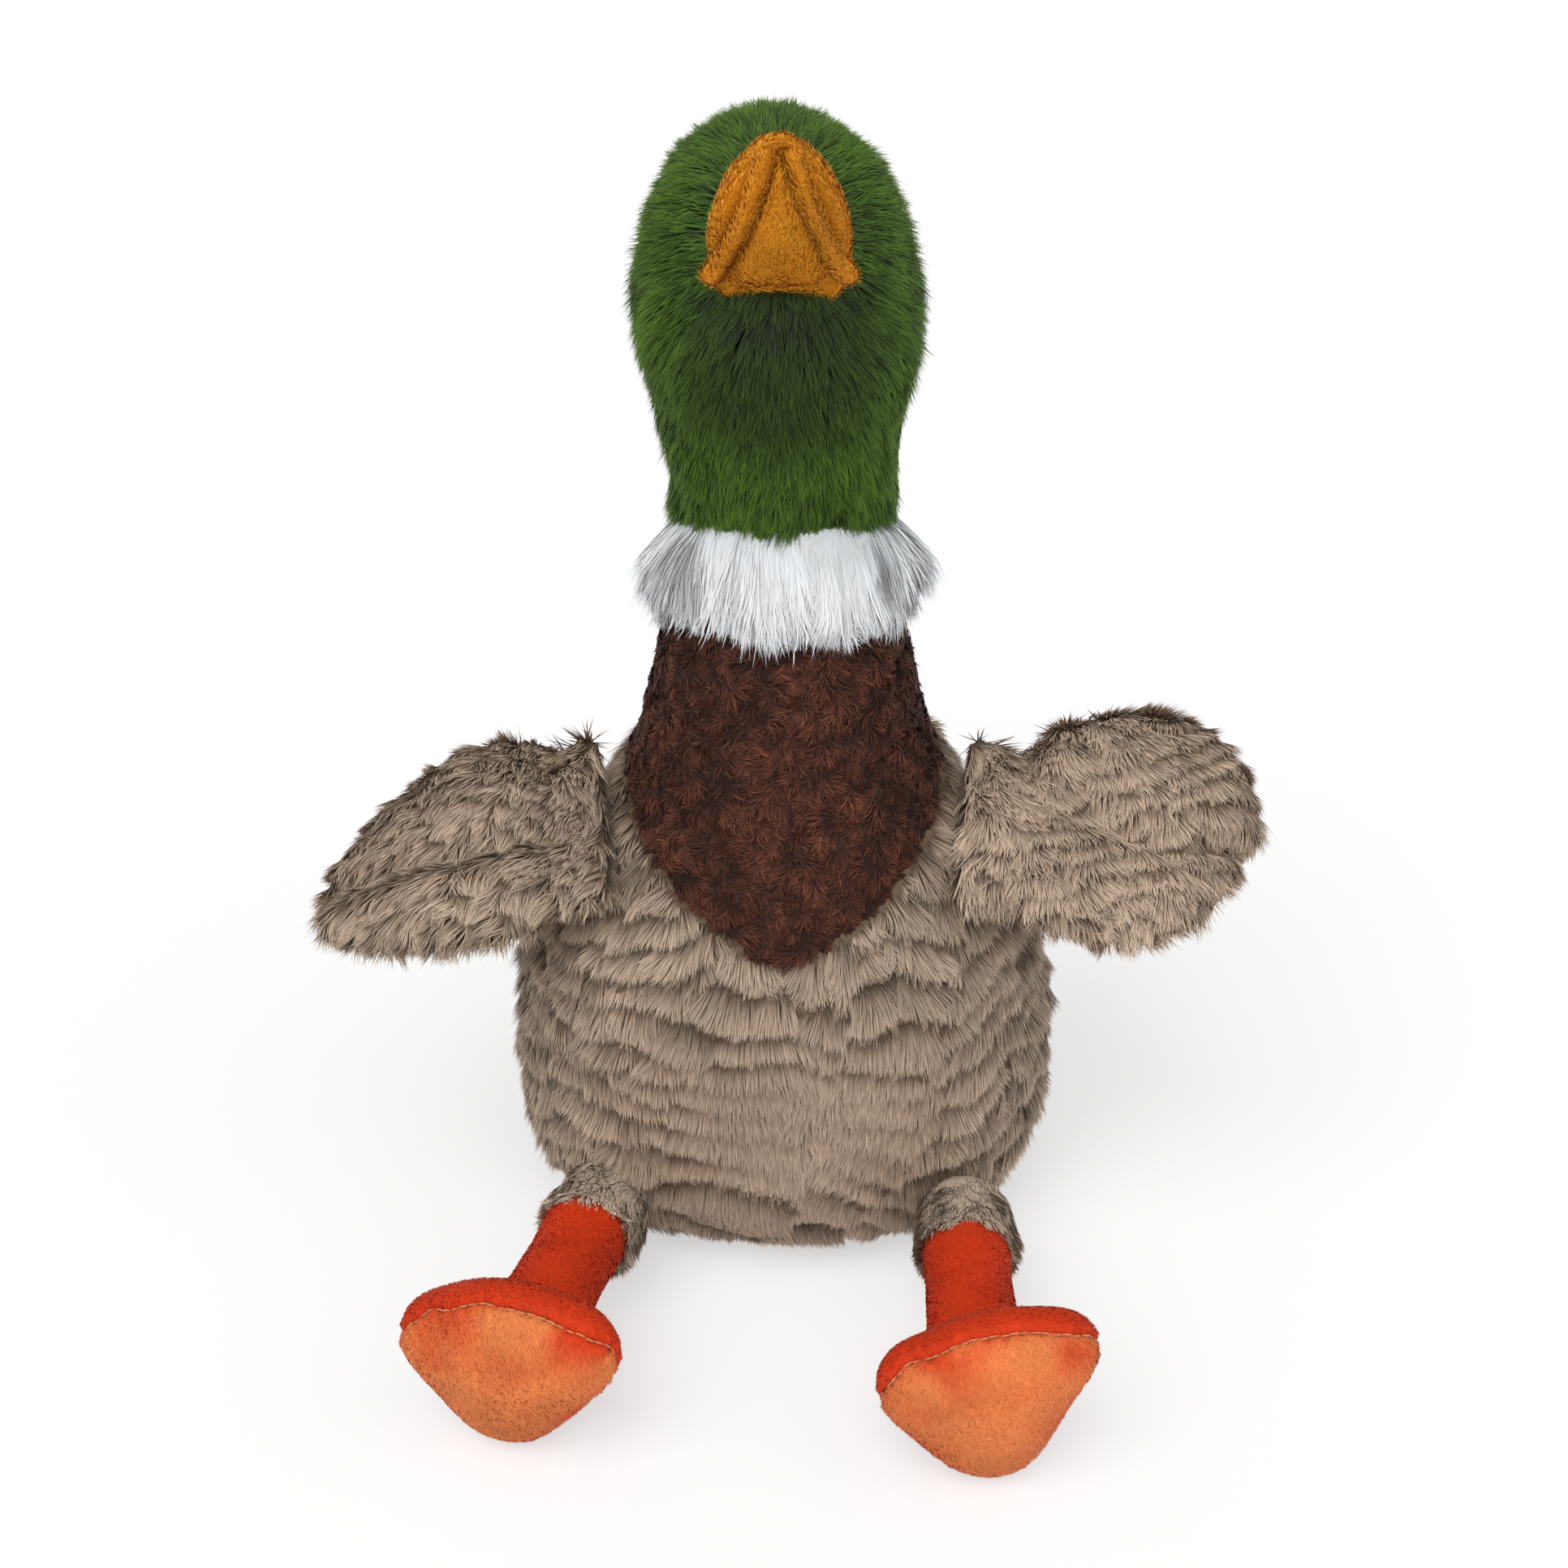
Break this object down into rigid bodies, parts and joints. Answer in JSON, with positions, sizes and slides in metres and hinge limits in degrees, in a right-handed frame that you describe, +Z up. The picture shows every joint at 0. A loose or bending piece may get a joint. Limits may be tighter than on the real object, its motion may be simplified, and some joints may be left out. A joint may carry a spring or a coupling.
{
  "type": "plush duck",
  "caption": "Seated stuffed duck with a nodding head, fur ruff, padded wings, thin legs and pillow feet on hinged seams.",
  "frame": {"origin": "middle of the seat's underside, on the surface that the duck sits on", "axes": "+Z up, the duck faces -Y, its left wing is at -X as the picture's camera sees it"},
  "size_m": [0.2663, 0.2418, 0.3223],
  "materials": {
    "taupe_fur": "matte",
    "brown_fleece": "matte",
    "green_fur": "matte",
    "white_fur": "matte",
    "yellow_velvet": "matte",
    "orange_velvet": "matte",
    "sole_velvet": "matte",
    "stuffing": "matte",
    "pellet_cloth": "matte",
    "black_plastic": "gloss",
    "white_plastic": "matte"
  },
  "bodies": {
    "torso": {"body_front": "taupe_fur", "body_back": "taupe_fur", "body_base": "taupe_fur", "chest_bib": "brown_fleece", "nape": "brown_fleece", "torso_stuffing": "stuffing", "pellet_pouch": "pellet_cloth", "tail_cover": "taupe_fur", "tail_stuffing": "stuffing", "neck_ruff": "white_fur"},
    "neck": {"neck_stuffing": "stuffing"},
    "head": {"head_left": "green_fur", "head_right": "green_fur", "head_stuffing": "stuffing", "eye_left": "black_plastic", "eye_right": "black_plastic", "eye_washer_left": "white_plastic", "eye_washer_right": "white_plastic", "bill_upper": "yellow_velvet", "bill_lower": "yellow_velvet", "bill_stuffing": "stuffing"},
    "wing_left": {"wing_top_left": "taupe_fur", "wing_under_left": "taupe_fur", "wing_stuffing_left": "stuffing"},
    "wing_right": {"wing_top_right": "taupe_fur", "wing_under_right": "taupe_fur", "wing_stuffing_right": "stuffing"},
    "leg_left": {"thigh_left": "taupe_fur", "leg_left": "orange_velvet", "leg_stuffing_left": "stuffing"},
    "leg_right": {"thigh_right": "taupe_fur", "leg_right": "orange_velvet", "leg_stuffing_right": "stuffing"},
    "foot_left": {"foot_upper_left": "orange_velvet", "foot_sole_left": "sole_velvet", "foot_stuffing_left": "stuffing"},
    "foot_right": {"foot_upper_right": "orange_velvet", "foot_sole_right": "sole_velvet", "foot_stuffing_right": "stuffing"}
  },
  "joints": [
    {"name": "neck_turn", "type": "hinge", "parent": "torso", "child": "neck", "pos_m": [0, 0.0065, 0.211], "axis": [0, 0, 1], "range_deg": [-30, 30]},
    {"name": "neck_nod", "type": "hinge", "parent": "neck", "child": "head", "pos_m": [0, 0.0065, 0.211], "axis": [1, 0, 0], "range_deg": [-15, 15]},
    {"name": "wing_flap_left", "type": "hinge", "parent": "torso", "child": "wing_left", "pos_m": [-0.05092, -0.02445, 0.13472], "axis": [-0.0895, 0.8746, 0.4765], "range_deg": [-8, 60]},
    {"name": "wing_flap_right", "type": "hinge", "parent": "torso", "child": "wing_right", "pos_m": [0.05102, -0.02467, 0.13509], "axis": [-0.0895, -0.8746, -0.4765], "range_deg": [-8, 60]},
    {"name": "hip_swing_left", "type": "hinge", "parent": "torso", "child": "leg_left", "pos_m": [-0.0529, -0.05891, 0.025], "axis": [-1, 0, 0], "range_deg": [-45, 45]},
    {"name": "hip_swing_right", "type": "hinge", "parent": "torso", "child": "leg_right", "pos_m": [0.0513, -0.0671, 0.025], "axis": [-1, 0, 0], "range_deg": [-45, 45]},
    {"name": "ankle_left", "type": "hinge", "parent": "leg_left", "child": "foot_left", "pos_m": [-0.06613, -0.10505, 0.025], "axis": [-1, 0, 0], "range_deg": [-20, 20]},
    {"name": "ankle_right", "type": "hinge", "parent": "leg_right", "child": "foot_right", "pos_m": [0.05046, -0.11509, 0.025], "axis": [-1, 0, 0], "range_deg": [-20, 20]}
  ]
}
